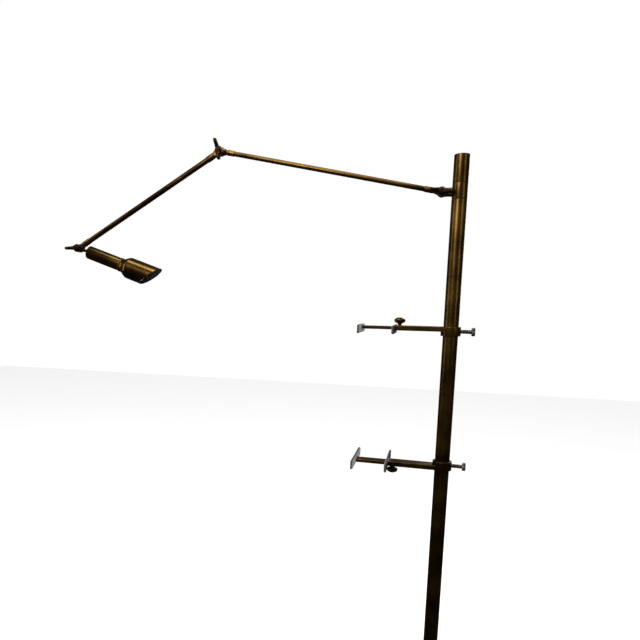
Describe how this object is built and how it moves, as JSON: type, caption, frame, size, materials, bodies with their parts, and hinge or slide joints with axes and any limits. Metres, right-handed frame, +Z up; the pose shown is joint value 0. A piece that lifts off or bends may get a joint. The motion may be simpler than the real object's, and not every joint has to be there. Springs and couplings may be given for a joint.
{
  "type": "adjustable arm floor lamp",
  "caption": "Floor-standing lamp with a jointed overhead arm, a slanted tubular spotlight head and sliding padded brackets that clamp a picture panel to the pole.",
  "frame": {"origin": "centre of the base's underside, on the floor", "axes": "+Z up along the pole, -X towards the side that the arm and the brackets point to"},
  "size_m": [1.2236, 0.372, 1.8643],
  "materials": {
    "antique_brass": "antiqued, brushed and lacquered",
    "dark_bronze": "dark bronze, satin",
    "nickel": "nickel plated",
    "jaw_grey": "dark grey satin",
    "pad_grey": "soft light grey",
    "inner_steel": "zinc plated",
    "cast_weight": "rough casting",
    "felt": "pressed felt",
    "black_nylon": "moulded",
    "lead_jacket": "smooth",
    "clear_glass": "clear",
    "bulb_glass": "frosted, silvered behind",
    "holder_ceramic": "glazed"
  },
  "bodies": {
    "stand": {"base_felt": "felt", "base_weight": "cast_weight", "base_nut": "inner_steel", "foot_plug": "inner_steel", "base_cover": "antique_brass", "pole_flange": "antique_brass", "cable_gland": "black_nylon", "pole_tube": "antique_brass", "swivel_spindle": "inner_steel", "cap_plug": "inner_steel", "top_cap": "antique_brass", "swivel_washers": "black_nylon", "pole_lead": "lead_jacket"},
    "swivel": {"swivel_ring": "antique_brass", "shoulder_bolt": "dark_bronze", "shoulder_washer": "black_nylon"},
    "arm_1": {"arm_1_inner_lug": "antique_brass", "arm_1_tube": "antique_brass", "arm_1_outer_lug": "antique_brass", "arm_1_lead": "lead_jacket", "elbow_bolt": "dark_bronze", "elbow_washer": "black_nylon"},
    "arm_2": {"arm_2_inner_lug": "antique_brass", "arm_2_tube": "antique_brass", "arm_2_outer_lug": "antique_brass", "arm_2_lead": "lead_jacket", "wrist_bolt": "dark_bronze", "wrist_washer": "black_nylon"},
    "head": {"head_lug": "antique_brass", "head_tube": "antique_brass", "stem_nut": "inner_steel", "neck_ring": "antique_brass", "nose_shell": "antique_brass", "lampholder": "holder_ceramic", "reflector_bulb": "bulb_glass", "front_glass": "clear_glass", "glass_retainer": "dark_bronze"},
    "shoulder_nut": {"shoulder_wing_nut": "dark_bronze"},
    "elbow_nut": {"elbow_wing_nut": "dark_bronze"},
    "wrist_nut": {"wrist_wing_nut": "dark_bronze"},
    "upper_slider": {"upper_bush": "black_nylon"},
    "upper_bracket": {"upper_collar": "antique_brass", "upper_outer_bar": "antique_brass", "upper_fixed_jaw": "jaw_grey", "upper_fixed_pad": "pad_grey"},
    "upper_screw": {"upper_thumb_screw": "nickel"},
    "upper_jaw": {"upper_inner_bar": "antique_brass", "upper_moving_jaw": "jaw_grey", "upper_moving_pad": "pad_grey"},
    "upper_knob_turn": {"upper_knob": "dark_bronze"},
    "lower_slider": {"lower_bush": "black_nylon"},
    "lower_bracket": {"lower_collar": "antique_brass", "lower_outer_bar": "antique_brass", "lower_fixed_jaw": "jaw_grey", "lower_fixed_pad": "pad_grey"},
    "lower_screw": {"lower_thumb_screw": "nickel"},
    "lower_jaw": {"lower_inner_bar": "antique_brass", "lower_moving_jaw": "jaw_grey", "lower_moving_pad": "pad_grey"},
    "lower_knob_turn": {"lower_knob": "dark_bronze"}
  },
  "joints": [
    {"name": "ring_swivel", "type": "hinge", "parent": "stand", "child": "swivel", "pos_m": [0, 0, 1.7013], "axis": [0, 0, 1], "range_deg": [-160, 160]},
    {"name": "shoulder_hinge", "type": "hinge", "parent": "swivel", "child": "arm_1", "pos_m": [-0.04, 0, 1.7186], "axis": [0, 1, 0], "range_deg": [-40, 65]},
    {"name": "elbow_hinge", "type": "hinge", "parent": "arm_1", "child": "arm_2", "pos_m": [-0.59156, 0, 1.83785], "axis": [0, 1, 0], "range_deg": [-70, 75]},
    {"name": "wrist_hinge", "type": "hinge", "parent": "arm_2", "child": "head", "pos_m": [-1.0166, 0, 1.59933], "axis": [0, 1, 0], "range_deg": [-2, 130]},
    {"name": "shoulder_wing_turn", "type": "hinge", "parent": "swivel", "child": "shoulder_nut", "pos_m": [-0.04, 0, 1.7186], "axis": [0, -1, 0], "range_deg": [0, 360]},
    {"name": "elbow_wing_turn", "type": "hinge", "parent": "arm_1", "child": "elbow_nut", "pos_m": [-0.59156, 0, 1.83785], "axis": [0, -1, 0], "range_deg": [0, 360]},
    {"name": "wrist_wing_turn", "type": "hinge", "parent": "arm_2", "child": "wrist_nut", "pos_m": [-1.0166, 0, 1.59933], "axis": [0, -1, 0], "range_deg": [0, 360]},
    {"name": "upper_height", "type": "slide", "parent": "stand", "child": "upper_slider", "axis": [0, 0, 1], "range_m": [-0.3, 0.27]},
    {"name": "upper_collar_turn", "type": "hinge", "parent": "upper_slider", "child": "upper_bracket", "pos_m": [0, 0, 1.3965], "axis": [0, 0, 1], "continuous": true},
    {"name": "upper_screw_turn", "type": "hinge", "parent": "upper_bracket", "child": "upper_screw", "pos_m": [0, 0, 1.3965], "axis": [1, 0, 0], "range_deg": [0, 360]},
    {"name": "upper_jaw_slide", "type": "slide", "parent": "upper_bracket", "child": "upper_jaw", "axis": [1, 0, 0], "range_m": [-0.015, 0.075]},
    {"name": "upper_knob_screw", "type": "hinge", "parent": "upper_bracket", "child": "upper_knob_turn", "pos_m": [-0.12, 0, 1.3965], "axis": [0, 0, 1], "range_deg": [0, 360]},
    {"name": "lower_height", "type": "slide", "parent": "stand", "child": "lower_slider", "axis": [0, 0, 1], "range_m": [-0.85, 0.3]},
    {"name": "lower_collar_turn", "type": "hinge", "parent": "lower_slider", "child": "lower_bracket", "pos_m": [0, 0, 1.0668], "axis": [0, 0, 1], "continuous": true},
    {"name": "lower_screw_turn", "type": "hinge", "parent": "lower_bracket", "child": "lower_screw", "pos_m": [0, 0, 1.0668], "axis": [1, 0, 0], "range_deg": [0, 360]},
    {"name": "lower_jaw_slide", "type": "slide", "parent": "lower_bracket", "child": "lower_jaw", "axis": [1, 0, 0], "range_m": [-0.015, 0.075]},
    {"name": "lower_knob_screw", "type": "hinge", "parent": "lower_bracket", "child": "lower_knob_turn", "pos_m": [-0.12, 0, 1.0668], "axis": [0, 0, -1], "range_deg": [0, 360]}
  ]
}
